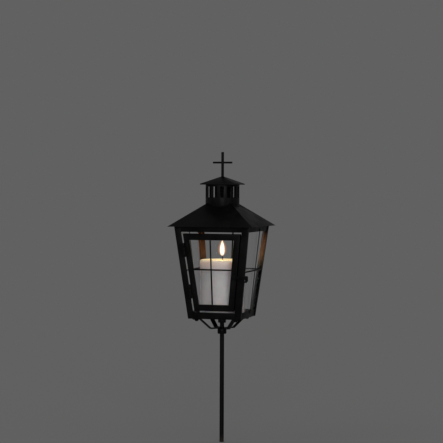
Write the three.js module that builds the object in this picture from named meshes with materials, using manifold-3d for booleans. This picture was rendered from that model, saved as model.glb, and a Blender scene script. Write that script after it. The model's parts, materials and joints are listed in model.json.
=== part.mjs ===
// Grave lantern on a ground stake: a tapering square body of bent sheet and glass with a hung door,
// a pyramid roof with a slotted vent collar, a cap and a cross, and a candle standing inside.
// Millimetres, +Z up. The door faces -Y. The origin is on the stake's axis at the ground line.

import * as THREE from "three";
import { mergeVertices } from "three/addons/utils/BufferGeometryUtils.js";
import Module from "manifold-3d";

const wasm = await Module();
wasm.setup();

// Clearances between pieces
const seat = 0.25; // welded or resting pieces
const running = 0.3; // pins, rivets and rods in their holes
const pastWall = 1; // how far a hole's cutter reaches beyond the wall that it cuts

// Stake and hub
const stakeDiameter = 8;
const stakeInGround = 200;
const stakePoint = 32; // length of the tapering tip
const stakeChamfer = 1;
const stakeShow = 200; // ground line to the hub's underside
const hubDiameter = 16.6;
const hubHeight = 9.6;
const hubChamfer = 1;
const stakeNutAcross = 13;
const stakeNutHeight = 8;
const stakeWasherDiameter = 18;
const stakeWasherThickness = 1.6;

// Cradle of four straps between the hub and the base pan
const cradleHeight = 20.9; // hub's top to the pan's underside
const strapWidth = 8;
const strapThickness = 2;
const strapBendInner = 23.5; // radius where the flat middle ends
const strapBendOuter = 45.5; // radius where the strap meets the pan
const strapReach = 59; // radius of the foot's outer end
const strapRivetRadius = 52.5;
const strapRivetShank = 4;
const strapRivetHead = 8;
const strapRivetHeadHeight = 3;
const strapRivetTail = 6.4;
const strapRivetTailHeight = 1.2;

// Tapering body
const bodyTopWidth = 140.4; // over the posts, at the eave plane
const bodyFootWidth = 100; // over the posts, at the pan's underside
const bodyHeight = 168; // pan's underside to the eave plane
const sheet = 1;
const postFlangeFront = 12.2; // the flange seen on the front and rear faces
const postFlangeSide = 6.2; // the flange seen on the two side faces
const postBendRadius = 1.6;
const postBendInside = 0.8;
const topRailDrop = 9.5; // how far the top rails hang below the eave plane
const topRailFlange = 10; // the flange that follows the underside of the roof
const panRimHeight = 12.2;

// Glazing
const glassThickness = 2;
const paneInset = 6; // corner edge to the pane's side
const paneLap = 8; // how far a fixed pane rises behind its top rail
const barWidth = 2.7;
const barLap = 5; // how far an upright bar laps over the top rail and the pan's rim
const sideBarDrop = 81; // eave plane to the level bar of a fixed face
const sideBarShift = 10; // the side faces' upright bars stand this far behind the middle
const clipThickness = 0.8;
const clipHeight = 7;
const clipReach = 4; // over the glass
const clipBase = 3.4; // on the flange
const clipDrop = 96; // eave plane to the clips of the side faces
const clipStagger = 14; // the rear face's clips lie this much lower

// Door
const doorGapHinge = 2.6;
const doorGapLatch = 2;
const doorGapTop = 3.4;
const doorGapFoot = 2.8;
const doorStile = 11;
const doorTopRail = 11.2;
const doorFootRail = 11.8;
const doorReturn = 6; // depth of the turned-in edge
const doorPaneLap = 3.5;
const doorBarDrop = 77.7; // eave plane to the door's level bar
const doorBarShift = -2.4; // the door's upright bar stands a little towards the hinges
const doorClipHeight = 8;
const doorClipLap = 2.2;
const doorClipInset = 16; // clip's middle from the door's top or foot edge
const doorClipShort = 0.5; // the clips end this much inside the turned-in edge

// Hinges
const hingeLength = 24;
const hingeLeafWidth = 8.5; // axis to the leaf's outer edge
const hingeLeafThickness = 0.8;
const hingeBarrel = 4.6;
const hingeBore = 3;
const hingePinHead = 3.8;
const hingePinHeadHeight = 0.8;
const hingePinCrown = 2.6; // the flat end of each head
const hingeUpperDrop = 42; // eave plane to the middle of each hinge
const hingeLowerDrop = 117.5;

// Latch
const latchDrop = 90.5; // eave plane to the lever's pivot
const latchPivotInset = 6.2; // window edge of the stile to the pivot
const latchThickness = 1.2;
const latchArmHeight = 6.6;
const latchEyeRadius = 4.6;
const latchOverhang = 7.4; // how far the lever ends beyond the body's corner
const latchTabWidth = 5.5;
const latchTabDrop = 6.9; // pivot level to the tab's hooked foot
const latchFootDrop = 9.1; // pivot level to the lower end of the hooked foot
const latchFootShift = 2; // the foot stands this much towards the corner
const latchCorner = 1.2;
const latchRivetShank = 3;
const latchRivetHead = 6;
const latchRivetHeadHeight = 1.1;
const latchRivetCrown = 4.4;
const latchRivetCrownHeight = 0.8;
const latchRivetTail = 4.2;
const latchRivetTailHeight = 0.9;
const catchStud = 3;
const catchStudHeight = 2.4;
const catchPlay = 0.8; // stud to the sides of the lever's notch
const catchInset = 5.6; // body's corner to the stud
const smallChamfer = 0.4;

// Roof
const roofOverhang = 9.8; // eave beyond the posts
const roofSlope = 36.4; // degrees
const roofSheet = 0.8;

// Vent collar
const collarDiameter = 62.4;
const collarSheet = 0.9;
const collarFootZ = 34; // above the eave plane
const ventPlaces = 15; // even places for slots round the collar
const ventPlain = 1; // places left plain on each side of the strip's lapped seam
const ventWidth = 6.4;
const ventFootZ = 52.5; // above the eave plane
const ventHeight = 20;
const ventSeamTurn = 105; // degrees from +X to the seam, at the rear
const collarFacets = 60;

// Cap
const capWidth = 66;
const capRise = 14.2; // over the lip
const capLip = 1.8;
const capSheet = 0.8;
const capZ = 76; // lip's lower edge above the eave plane

// Cross and its fixing
const crossTopZ = 136; // above the eave plane
const crossRod = 5;
const crossArmDiameter = 3.5;
const crossArmLength = 37;
const crossArmZ = 116.6; // above the eave plane
const crossTail = 3.5; // end of the rod below its nut
const crossNutAcross = 8;
const crossNutHeight = 4;
const bridgeZ = 45; // top of the bridge above the eave plane
const bridgeWidth = 10;
const bridgeSheet = 1.2;
const bridgeEar = 8;

// Candle
const candleDiameter = 82;
const candleHeight = 105;
const candleFootChamfer = 1;
const candleRimRadius = 2.6;
const candleRimWidth = 7;
const candlePoolDepth = 3.4;
const candlePoolLip = 3; // depth of the pool's edge above its middle
const wickDiameter = 1.7;
const wickHeight = 10.6; // above the middle of the pool
const flameDiameter = 9.9;
const flameHeight = 28.5;
const flameFootDiameter = 7.2;
const flameWidestAt = 12; // above the flame's foot

// Levels and slopes that follow
const hubFootZ = stakeShow;
const hubTopZ = hubFootZ + hubHeight;
const panZ = hubTopZ + cradleHeight;
const eaveZ = panZ + bodyHeight;
const roofWidth = bodyTopWidth + 2 * roofOverhang;
const taper = (bodyTopWidth - bodyFootWidth) / 2 / bodyHeight; // sideways run for each mm of height
const tilt = Math.atan(taper); // a face's lean from upright
const lean = Math.atan(Math.sin(tilt)); // a corner edge's lean, drawn on its face
const roofRise = Math.tan(THREE.MathUtils.degToRad(roofSlope));
const panFloorZ = panZ + sheet;
const strapTopZ = hubTopZ + seat + strapThickness;

// Depths behind a face's outer plane, one layer after another
const railDepth = sheet + seat; // top rails and pan rim
const paneDepth = railDepth + sheet + seat;
const clipDepth = paneDepth + glassThickness + seat;
const hingeAxisHeight = hingeAxisAboveFace();

// Half the body's width over the posts, at a height above the ground line
function halfWidth(z) {
  return bodyTopWidth / 2 + taper * (z - eaveZ);
}

// Half the body's width over the posts, on a face, v measured up the face from the eave plane
function halfFace(v) {
  return bodyTopWidth / 2 + Math.sin(tilt) * v;
}

// The place up a face that lies at height z, at a depth behind the outer plane
function upFace(z, depth = 0) {
  return (z - eaveZ - Math.sin(tilt) * depth) / Math.cos(tilt);
}

// Height of the roof's underside at a half width
function roofUnderside(half) {
  const thickness = roofSheet / Math.cos(THREE.MathUtils.degToRad(roofSlope));
  return eaveZ + (roofWidth / 2 - half) * roofRise - thickness;
}

// The barrel stands just proud enough to clear the edges on both sides of the door gap
function hingeAxisAboveFace() {
  const opening = doorGapHinge / 2 - seat;
  return Math.sqrt((hingeBarrel / 2) ** 2 - opening ** 2);
}

// A geometry with shared points merged, collapsed faces dropped and its faces turned outwards
function sealed(geometry) {
  const bare = geometry.clone();
  bare.deleteAttribute("normal");
  bare.deleteAttribute("uv");
  const merged = mergeVertices(bare, 1e-4);
  const corners = [0, 1, 2].map(() => new THREE.Vector3());
  const faces = [];
  let volume = 0;
  for (let i = 0; i < merged.index.count; i += 3) {
    const face = [0, 1, 2].map((step) => merged.index.getX(i + step));
    if (new Set(face).size < 3) continue;
    face.forEach((vertex, n) => corners[n].fromBufferAttribute(merged.attributes.position, vertex));
    volume += corners[0].dot(corners[1].clone().cross(corners[2]));
    faces.push(face);
  }
  if (volume < 0) faces.forEach((face) => face.reverse());
  merged.setIndex(faces.flat());
  merged.computeVertexNormals();
  return merged;
}

// Booleans
function asSolid(geometry) {
  const closed = sealed(geometry);
  const vertProperties = Float32Array.from(closed.attributes.position.array);
  const triVerts = Uint32Array.from(closed.index.array);
  return new wasm.Manifold(new wasm.Mesh({ numProp: 3, vertProperties, triVerts }));
}

function asGeometry(solid) {
  const mesh = solid.getMesh();
  const geometry = new THREE.BufferGeometry();
  geometry.setAttribute("position", new THREE.BufferAttribute(mesh.vertProperties, 3));
  geometry.setIndex(new THREE.BufferAttribute(mesh.triVerts, 1));
  geometry.computeVertexNormals();
  return geometry;
}

function cut(geometry, cutters) {
  return asGeometry(cutters.reduce((solid, cutter) => solid.subtract(asSolid(cutter)), asSolid(geometry)));
}

function join(geometries) {
  return asGeometry(geometries.map(asSolid).reduce((solid, other) => solid.add(other)));
}

// Forms turned about the Z axis from points (radius, height)
function turned(profile, facets) {
  const points = profile.map(([radius, height]) => new THREE.Vector2(radius, height));
  return sealed(new THREE.LatheGeometry(points, facets).rotateX(Math.PI / 2));
}

// Forms with a square plan, from points (half width, height)
function squareTurned(profile) {
  const corner = profile.map(([half, height]) => [half * Math.SQRT2, height]);
  return turned(corner, 4).rotateZ(Math.PI / 4);
}

// An upright round bar between two heights
function roundBar(radius, from, to, facets = 20) {
  return turned([[0, from], [radius, from], [radius, to], [0, to]], facets);
}

function polygon(points) {
  return new THREE.Shape(points.map(([x, y]) => new THREE.Vector2(x, y)));
}

// A flat outline given thickness along Z, from one level to another
function plate(shape, from, to, curveSegments = 8) {
  const geometry = new THREE.ExtrudeGeometry(shape, { depth: to - from, bevelEnabled: false, curveSegments });
  return sealed(geometry.translate(0, 0, from));
}

// A rail along the front side whose ends are mitred at 45 degrees, from a closed (half width, height) profile
function mitredRail(profile, mitreGap) {
  const outline = profile.map(([half, height]) => new THREE.Vector2(half, height));
  const ends = [-1, 1].map((side) => outline.map((p) => [side * (p.x - mitreGap / 2), -p.x, p.y]));
  const count = outline.length;
  const cap = THREE.ShapeUtils.triangulateShape(outline, []);
  const index = cap.flatMap(([a, b, c]) => [a, b, c, count + a, count + c, count + b]);
  for (let i = 0; i < count; i += 1) {
    const next = (i + 1) % count;
    index.push(i, count + next, next, i, count + i, count + next);
  }
  const geometry = new THREE.BufferGeometry();
  geometry.setAttribute("position", new THREE.Float32BufferAttribute(ends.flat(2), 3));
  geometry.setIndex(index);
  return sealed(geometry);
}

// Materials
const metal = { color: 0x141414, roughness: 0.45, metalness: 0.6 };
const zinc = { color: 0x3a3a3a, roughness: 0.4, metalness: 0.9 };
const glass = { color: 0xdfe8e6, roughness: 0.05, metalness: 0, transparent: true, opacity: 0.3 };
const wax = { color: 0xcfc6bd, roughness: 0.55, metalness: 0 };
const wickFinish = { color: 0x0b0a09, roughness: 0.9, metalness: 0 };
const flameFinish = { color: 0xfff5ef, roughness: 0.4, metalness: 0, emissive: 0xffe0b0 };

const lantern = new THREE.Group();

function piece(name, geometry, finish, parent = lantern) {
  const mesh = new THREE.Mesh(geometry, new THREE.MeshStandardMaterial(finish));
  mesh.name = name;
  parent.add(mesh);
  return mesh;
}

// A face of the body as a drawing plane: x along it, y up it from the eave plane, z outwards.
// Turn 0 is the front, and each quarter turn goes on to the right, rear and left faces.
function facePlane(quarterTurns) {
  const turn = new THREE.Group();
  const plane = new THREE.Group();
  turn.rotation.z = (quarterTurns * Math.PI) / 2;
  plane.position.set(0, -bodyTopWidth / 2, eaveZ);
  plane.rotation.x = Math.PI / 2 + tilt;
  turn.add(plane);
  lantern.add(turn);
  return plane;
}

const front = facePlane(0);
const fixedFaces = [
  { name: "right", plane: facePlane(1), sides: ["front", "rear"], flange: postFlangeSide, barAt: sideBarShift },
  { name: "rear", plane: facePlane(2), sides: ["right", "left"], flange: postFlangeFront, barAt: 0 },
  { name: "left", plane: facePlane(3), sides: ["rear", "front"], flange: postFlangeSide, barAt: -sideBarShift },
];

// A panel on a face whose sides run along the body's corner edges
function facePanel(top, foot, leftInset, rightInset = leftInset) {
  return polygon([
    [leftInset - halfFace(foot), foot],
    [halfFace(foot) - rightInset, foot],
    [halfFace(top) - rightInset, top],
    [leftInset - halfFace(top), top],
  ]);
}

// Stake, hub and nut
function buildStake() {
  const radius = stakeDiameter / 2;
  const foot = -stakeInGround;
  const top = panZ - seat;
  const stake = turned([
    [0, foot],
    [radius, foot + stakePoint],
    [radius, top - stakeChamfer],
    [radius - stakeChamfer, top],
    [0, top],
  ], 24);
  piece("stake", stake, metal);

  const outer = hubDiameter / 2;
  const bore = radius + running;
  const hub = turned([
    [bore, hubFootZ],
    [outer - hubChamfer, hubFootZ],
    [outer, hubFootZ + hubChamfer],
    [outer, hubTopZ],
    [bore, hubTopZ],
    [bore, hubFootZ],
  ], 32);
  piece("hub", hub, metal);

  const washerTop = panZ - seat;
  const washerFoot = washerTop - stakeWasherThickness;
  const washerRadius = stakeWasherDiameter / 2;
  const washer = turned([
    [bore, washerFoot],
    [washerRadius, washerFoot],
    [washerRadius, washerTop],
    [bore, washerTop],
    [bore, washerFoot],
  ], 32);
  piece("stake_washer", washer, zinc);
  const nutTop = washerFoot - seat;
  piece("stake_nut", hexNut(stakeNutAcross, bore, nutTop - stakeNutHeight, nutTop), zinc);
}

function hexNut(across, bore, from, to) {
  const corner = across / Math.sqrt(3);
  const bevel = corner - across / 2;
  const round = turned([
    [0, from],
    [corner - bevel, from],
    [corner, from + bevel / 2],
    [corner, to - bevel / 2],
    [corner - bevel, to],
    [0, to],
  ], 30);
  const blank = asSolid(roundBar(corner, from, to, 6)).intersect(asSolid(round));
  return asGeometry(blank.subtract(asSolid(roundBar(bore, from - pastWall, to + pastWall, 24))));
}

const diagonals = ["front_right", "rear_right", "rear_left", "front_left"].map((name, n) => {
  return { name, angle: (n / 2 - 0.25) * Math.PI };
});

// Cradle: four bent straps on the diagonals, each riveted to the pan by its foot
function buildCradle() {
  const footTop = panZ - seat;
  const footBottom = footTop - strapThickness;
  const flatTop = strapTopZ;
  const flatBottom = strapTopZ - strapThickness;
  const innerEnd = strapWidth / 2 + seat;
  const mitre = strapThickness * Math.tan(Math.atan2(footTop - flatTop, strapBendOuter - strapBendInner) / 2);
  const side = polygon([
    [innerEnd, flatBottom],
    [strapBendInner + mitre, flatBottom],
    [strapBendOuter + mitre, footBottom],
    [strapReach, footBottom],
    [strapReach, footTop],
    [strapBendOuter, footTop],
    [strapBendInner, flatTop],
    [innerEnd, flatTop],
  ]);
  const strap = plate(side, -strapWidth / 2, strapWidth / 2).rotateX(Math.PI / 2);
  const rivetHole = strapRivetShank / 2 + running;
  const hole = roundBar(rivetHole, footBottom - pastWall, footTop + pastWall, 16);
  const drilled = cut(strap, [hole.translate(strapRivetRadius, 0, 0)]);
  const rivet = strapRivet(footBottom - seat).translate(strapRivetRadius, 0, 0);
  diagonals.forEach(({ name, angle }) => {
    piece(`strap_${name}`, drilled, metal).rotation.z = angle;
    piece(`strap_rivet_${name}`, rivet, metal).rotation.z = angle;
  });
}

// Domed head under the strap, shank through strap and pan, low tail on the pan's floor
function strapRivet(headTop) {
  const tailFoot = panFloorZ + seat;
  const headRadius = strapRivetHead / 2;
  const shank = strapRivetShank / 2;
  const crown = [0, 0.5, 0.8].map((share) => [
    headRadius * share,
    headTop - strapRivetHeadHeight * Math.sqrt(1 - share ** 2),
  ]);
  return turned([
    ...crown,
    [headRadius, headTop],
    [shank, headTop],
    [shank, tailFoot],
    [strapRivetTail / 2, tailFoot],
    [(strapRivetTail + strapRivetShank) / 4, tailFoot + strapRivetTailHeight],
    [0, tailFoot + strapRivetTailHeight],
  ], 16);
}

// Base pan: a folded tray whose rim is the lower rail of all four faces
function buildPan() {
  const outset = railDepth / Math.cos(tilt);
  const wall = sheet / Math.cos(tilt);
  const rimTop = panZ + panRimHeight;
  const tray = squareTurned([
    [0, panZ],
    [halfWidth(panZ) - outset, panZ],
    [halfWidth(rimTop) - outset, rimTop],
    [halfWidth(rimTop) - outset - wall, rimTop],
    [halfWidth(panFloorZ) - outset - wall, panFloorZ],
    [0, panFloorZ],
  ]);
  const hole = roundBar(strapRivetShank / 2 + running, panZ - pastWall, panFloorZ + pastWall, 16);
  const holes = diagonals.map(({ angle }) => hole.clone().translate(strapRivetRadius, 0, 0).rotateZ(angle));
  piece("base_pan", cut(tray, holes), metal);
}

// Corner posts: bent angles that lean along the body's corner edges
function buildPosts() {
  const top = postTop();
  const wall = sheet / Math.cos(tilt);
  const corners = [
    ["front_left", -1, -1],
    ["front_right", 1, -1],
    ["rear_left", -1, 1],
    ["rear_right", 1, 1],
  ];
  const section = new THREE.Shape();
  section.moveTo(-postFlangeFront, 0);
  section.lineTo(-postFlangeFront, -wall);
  section.lineTo(-wall - postBendInside, -wall);
  section.quadraticCurveTo(-wall, -wall, -wall, -wall - postBendInside);
  section.lineTo(-wall, -postFlangeSide);
  section.lineTo(0, -postFlangeSide);
  section.lineTo(0, -postBendRadius);
  section.absarc(-postBendRadius, -postBendRadius, postBendRadius, 0, Math.PI / 2, false);
  section.closePath();
  const upright = plate(section, panZ, top, 4);
  const shift = halfWidth(0);
  const along = new THREE.Matrix4().set(1, 0, taper, shift, 0, 1, taper, shift, 0, 0, 1, 0, 0, 0, 0, 1);
  corners.forEach(([name, sideX, sideY]) => {
    const post = upright.clone().applyMatrix4(along).scale(sideX, sideY, 1);
    piece(`post_${name}`, sealed(post), metal);
  });
}

// The posts end just under the roof
function postTop() {
  const cornerHeight = (roofWidth / 2 - halfWidth(eaveZ)) * roofRise;
  const underside = roofUnderside(roofWidth / 2) - eaveZ;
  return eaveZ + (cornerHeight + underside - seat) / (1 + taper * roofRise);
}

// Top rails: a web behind the posts and a flange that follows the underside of the roof
function buildTopRails() {
  const secant = 1 / Math.cos(THREE.MathUtils.degToRad(roofSlope));
  const outerDepth = railDepth / Math.cos(tilt);
  const innerDepth = (railDepth + sheet) / Math.cos(tilt);
  const foot = eaveZ - topRailDrop;
  const gap = seat * secant;
  const flangeTop = (half) => roofUnderside(half) - gap;
  const flangeFoot = (half) => flangeTop(half) - sheet * secant;
  // The level where a plane at a depth behind the posts meets a line that falls with the roof
  const meet = (depth, level) => {
    const half = halfWidth(eaveZ) - depth;
    const z = eaveZ + (level(half) - eaveZ) / (1 + taper * roofRise);
    return [halfWidth(z) - depth, z];
  };
  const outerTop = meet(outerDepth, flangeTop);
  const innerHalf = outerTop[0] - topRailFlange;
  const profile = [
    [halfWidth(foot) - outerDepth, foot],
    outerTop,
    [innerHalf, flangeTop(innerHalf)],
    [innerHalf, flangeFoot(innerHalf)],
    meet(innerDepth, flangeFoot),
    [halfWidth(foot) - innerDepth, foot],
  ];
  const rail = mitredRail(profile, seat);
  ["front", "right", "rear", "left"].forEach((name, n) => {
    piece(`top_rail_${name}`, rail, metal).rotation.z = (n * Math.PI) / 2;
  });
}

// Glass, bars and clips of the three fixed faces
function buildFixedFaces() {
  const glassFoot = upFace(panFloorZ + seat, -paneDepth);
  const glassTop = upFace(eaveZ - topRailDrop + paneLap);
  const pane = plate(facePanel(glassTop, glassFoot, paneInset), -paneDepth - glassThickness, -paneDepth);
  const barTop = upFace(eaveZ - topRailDrop) + barLap;
  const barFoot = upFace(panZ + panRimHeight) - barLap;
  const level = upFace(eaveZ - sideBarDrop);
  fixedFaces.forEach(({ name, plane, sides, barAt, flange }) => {
    const drop = name === "rear" ? clipDrop + clipStagger : clipDrop;
    const cross = barCross(barAt, barTop, barFoot, level, flange + seat);
    piece(`pane_${name}`, pane, glass, plane);
    piece(`bars_${name}`, plate(cross, -sheet, 0), metal, plane);
    sides.forEach((side, n) => {
      piece(`pane_clip_${name}_${side}`, paneClip(drop, n === 0 ? 1 : -1), metal, plane);
    });
  });
}

// An upright and a level bar in one flat cross, the level one ending along the body's corner edges
function barCross(upright, top, foot, level, leftInset, rightInset = leftInset) {
  const half = barWidth / 2;
  const lower = level - half;
  const upper = level + half;
  return polygon([
    [upright - half, foot],
    [upright + half, foot],
    [upright + half, lower],
    [halfFace(lower) - rightInset, lower],
    [halfFace(upper) - rightInset, upper],
    [upright + half, upper],
    [upright + half, top],
    [upright - half, top],
    [upright - half, upper],
    [leftInset - halfFace(upper), upper],
    [leftInset - halfFace(lower), lower],
    [upright - half, lower],
  ]);
}

// A bent clip from the post's flange round the glass edge and over the glass, mirrored by side
function paneClip(drop, side) {
  const edge = paneInset - seat;
  const over = clipDepth + clipThickness;
  const base = railDepth + clipThickness;
  const section = polygon([
    [edge - clipBase, -railDepth],
    [edge, -railDepth],
    [edge, -clipDepth],
    [edge + clipReach, -clipDepth],
    [edge + clipReach, -over],
    [edge - clipThickness, -over],
    [edge - clipThickness, -base],
    [edge - clipBase, -base],
  ]);
  const v = upFace(eaveZ - drop);
  const clip = plate(section, -clipHeight / 2, clipHeight / 2).rotateX(Math.PI / 2);
  return sealed(clip.rotateZ(lean).translate(-halfFace(v), v, 0).scale(side, 1, 1));
}

// Door, in the front face's plane
const doorTop = upFace(eaveZ - topRailDrop - doorGapTop);
const doorFoot = upFace(panZ + panRimHeight + doorGapFoot);
const doorLeft = postFlangeFront + doorGapHinge;
const doorRight = postFlangeFront + doorGapLatch;
const windowTop = doorTop - doorTopRail;
const windowFoot = doorFoot + doorFootRail;

function latchPivot() {
  const v = upFace(eaveZ - latchDrop);
  return [halfFace(v) - doorRight - doorStile + latchPivotInset, v];
}

function buildDoor() {
  const blank = plate(facePanel(doorTop, doorFoot, doorLeft, doorRight), -doorReturn, 0);
  const pocketShape = facePanel(doorTop - sheet, doorFoot + sheet, doorLeft + sheet, doorRight + sheet);
  const pocket = plate(pocketShape, -doorReturn - pastWall, -sheet);
  const windowShape = facePanel(windowTop, windowFoot, doorLeft + doorStile, doorRight + doorStile);
  const window = plate(windowShape, -doorReturn, pastWall);
  const [pivotX, pivotY] = latchPivot();
  const pivotHole = roundBar(latchRivetShank / 2 + running, -doorReturn, pastWall, 16);
  pivotHole.translate(pivotX, pivotY, 0);
  piece("door_frame", cut(blank, [pocket, window, pivotHole]), metal, front);

  const lapLeft = doorLeft + doorStile - doorPaneLap;
  const lapRight = doorRight + doorStile - doorPaneLap;
  const paneShape = facePanel(windowTop + doorPaneLap, windowFoot - doorPaneLap, lapLeft, lapRight);
  const paneFront = -sheet - seat;
  piece("door_pane", plate(paneShape, paneFront - glassThickness, paneFront), glass, front);

  const level = upFace(eaveZ - doorBarDrop);
  const leftInset = doorLeft + doorStile + seat;
  const rightInset = doorRight + doorStile + seat;
  const cross = barCross(doorBarShift, windowTop - seat, windowFoot + seat, level, leftInset, rightInset);
  piece("door_bars", plate(cross, -sheet, 0), metal, front);
  buildDoorClips();
}

// Angle tabs inside the door's turned-in edge, bent over the glass
function buildDoorClips() {
  const wall = sheet + seat;
  const over = -sheet - seat - glassThickness - seat;
  const reach = doorStile - doorPaneLap + doorClipLap;
  const section = polygon([
    [wall, -doorReturn + doorClipShort],
    [wall + clipThickness, -doorReturn + doorClipShort],
    [wall + clipThickness, over - clipThickness],
    [reach, over - clipThickness],
    [reach, over],
    [wall, over],
  ]);
  const clip = plate(section, -doorClipHeight / 2, doorClipHeight / 2).rotateX(Math.PI / 2);
  const heights = { upper: doorTop - doorClipInset, lower: doorFoot + doorClipInset };
  Object.entries(heights).forEach(([name, v]) => {
    const left = clip.clone().rotateZ(lean).translate(doorLeft - halfFace(v), v, 0);
    const right = clip.clone().scale(-1, 1, 1).rotateZ(-lean).translate(halfFace(v) - doorRight, v, 0);
    piece(`door_clip_${name}_left`, left, metal, front);
    piece(`door_clip_${name}_right`, sealed(right), metal, front);
  });
}

// Hinge axis: a line in front of the door gap, parallel to the body's corner edge
function hingeMiddle(drop) {
  const v = upFace(eaveZ - drop);
  const across = postFlangeFront + doorGapHinge / 2;
  return [across - halfFace(v), v, hingeAxisHeight];
}

// Butt hinges: drawn with the axis along Y, then leaned to the corner edge
function buildHinges() {
  const knuckle = (hingeLength - 2 * running) / 3;
  const middle = [-knuckle / 2, knuckle / 2];
  const lower = [-hingeLength / 2, -knuckle / 2 - running];
  const upper = [knuckle / 2 + running, hingeLength / 2];
  const postLeaf = hingeLeaf([lower, upper], [middle]).scale(-1, 1, 1);
  const doorLeaf = hingeLeaf([middle], [lower, upper]);
  const pin = hingePin();
  [["upper", hingeUpperDrop], ["lower", hingeLowerDrop]].forEach(([name, drop]) => {
    const group = new THREE.Group();
    group.position.set(...hingeMiddle(drop));
    group.rotation.z = lean;
    front.add(group);
    piece(`hinge_${name}_post_leaf`, sealed(postLeaf), metal, group);
    piece(`hinge_${name}_door_leaf`, doorLeaf, metal, group);
    piece(`hinge_${name}_pin`, pin, metal, group);
  });
}

// A leaf with its own knuckles, relieved where the other leaf's knuckles turn
function hingeLeaf(ownKnuckles, otherKnuckles) {
  const leafFoot = seat - hingeAxisHeight;
  const half = hingeLength / 2;
  const nearAxis = hingeBarrel / 4;
  const leaf = plate(
    polygon([[nearAxis, -half], [hingeLeafWidth, -half], [hingeLeafWidth, half], [nearAxis, half]]),
    leafFoot,
    leafFoot + hingeLeafThickness,
  );
  const barrels = ownKnuckles.map(([from, to]) => alongY(roundBar(hingeBarrel / 2, from, to)));
  const bore = alongY(roundBar(hingeBore / 2, -hingeLength, hingeLength, 16));
  const reliefs = otherKnuckles.map(([from, to]) => {
    return alongY(roundBar(hingeBarrel / 2 + running, from - running, to + running));
  });
  return cut(join([leaf, ...barrels]), [bore, ...reliefs]);
}

function alongY(geometry) {
  return geometry.rotateX(-Math.PI / 2);
}

function hingePin() {
  const radius = hingeBore / 2 - running;
  const end = hingeLength / 2 + seat;
  const head = hingePinHead / 2;
  const crown = hingePinCrown / 2;
  const tip = end + hingePinHeadHeight;
  return alongY(turned([
    [0, -tip],
    [crown, -tip],
    [head, -end],
    [radius, -end],
    [radius, end],
    [head, end],
    [crown, tip],
    [0, tip],
  ], 16));
}

// Latch: a drop lever on the door that falls over a stud on the post
function buildLatch() {
  const [pivotX, pivotY] = latchPivot();
  const corner = halfFace(pivotY) - pivotX;
  const leverFoot = running;
  const lever = plate(leverShape(corner), leverFoot, leverFoot + latchThickness, 6);
  piece("latch_lever", lever, metal, front).position.set(pivotX, pivotY, 0);

  const headFoot = leverFoot + latchThickness + running;
  const tail = -sheet - seat;
  const shank = latchRivetShank / 2;
  const head = latchRivetHead / 2;
  const rivet = turned([
    [0, tail - latchRivetTailHeight],
    [shank, tail - latchRivetTailHeight],
    [latchRivetTail / 2, tail],
    [shank, tail],
    [shank, headFoot],
    [head, headFoot],
    [latchRivetCrown / 2, headFoot + latchRivetCrownHeight],
    [0, headFoot + latchRivetHeadHeight],
  ], 16);
  piece("latch_rivet", rivet, metal, front).position.set(pivotX, pivotY, 0);

  const stud = turned([
    [0, seat],
    [catchStud / 2, seat],
    [catchStud / 2, catchStudHeight - smallChamfer],
    [catchStud / 2 - smallChamfer, catchStudHeight],
    [0, catchStudHeight],
  ], 16);
  piece("catch_stud", stud, metal, front).position.set(pivotX + corner - catchInset, pivotY, 0);
}

// Lever drawn about its pivot: round eye, notched arm, and a finger tab beyond the corner
function leverShape(corner) {
  const half = latchArmHeight / 2;
  const tabRight = corner + latchOverhang;
  const tabLeft = tabRight - latchTabWidth;
  const notch = catchStud / 2 + catchPlay;
  const notchMiddle = corner - catchInset;
  const shape = new THREE.Shape();
  const eyeEnd = Math.sqrt(latchEyeRadius ** 2 - half ** 2);
  const eyeAngle = Math.asin(half / latchEyeRadius);
  shape.moveTo(eyeEnd, half);
  shape.absarc(0, 0, latchEyeRadius, eyeAngle, 2 * Math.PI - eyeAngle, false);
  shape.lineTo(notchMiddle - notch, -half);
  shape.lineTo(notchMiddle - notch, 0);
  shape.absarc(notchMiddle, 0, notch, Math.PI, 0, true);
  shape.lineTo(notchMiddle + notch, -half);
  shape.lineTo(tabLeft, -half);
  shape.lineTo(tabLeft, -latchTabDrop);
  shape.lineTo(tabLeft - latchFootShift, -latchTabDrop);
  shape.lineTo(tabLeft - latchFootShift, -latchFootDrop);
  shape.lineTo(tabRight - latchFootShift, -latchFootDrop);
  shape.lineTo(tabRight - latchFootShift, -latchTabDrop);
  shape.lineTo(tabRight, -latchTabDrop);
  shape.lineTo(tabRight, half - latchCorner);
  shape.lineTo(tabRight - latchCorner, half);
  shape.closePath();
  const eye = new THREE.Path();
  eye.absarc(0, 0, latchRivetShank / 2 + running, 0, 2 * Math.PI, true);
  shape.holes.push(eye);
  return shape;
}

// Roof: a folded pyramid with a round hole for the vent collar
function buildRoof() {
  const half = roofWidth / 2;
  const thickness = roofSheet / Math.cos(THREE.MathUtils.degToRad(roofSlope));
  const lip = thickness / roofRise;
  const pyramid = squareTurned([
    [0, eaveZ + half * roofRise],
    [half, eaveZ],
    [half - lip, eaveZ],
    [0, eaveZ + half * roofRise - thickness],
  ]);
  const throat = roundBar(collarDiameter / 2 + seat, eaveZ, eaveZ + roofWidth, collarFacets);
  piece("roof", cut(pyramid, [throat]), metal);
}

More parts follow.
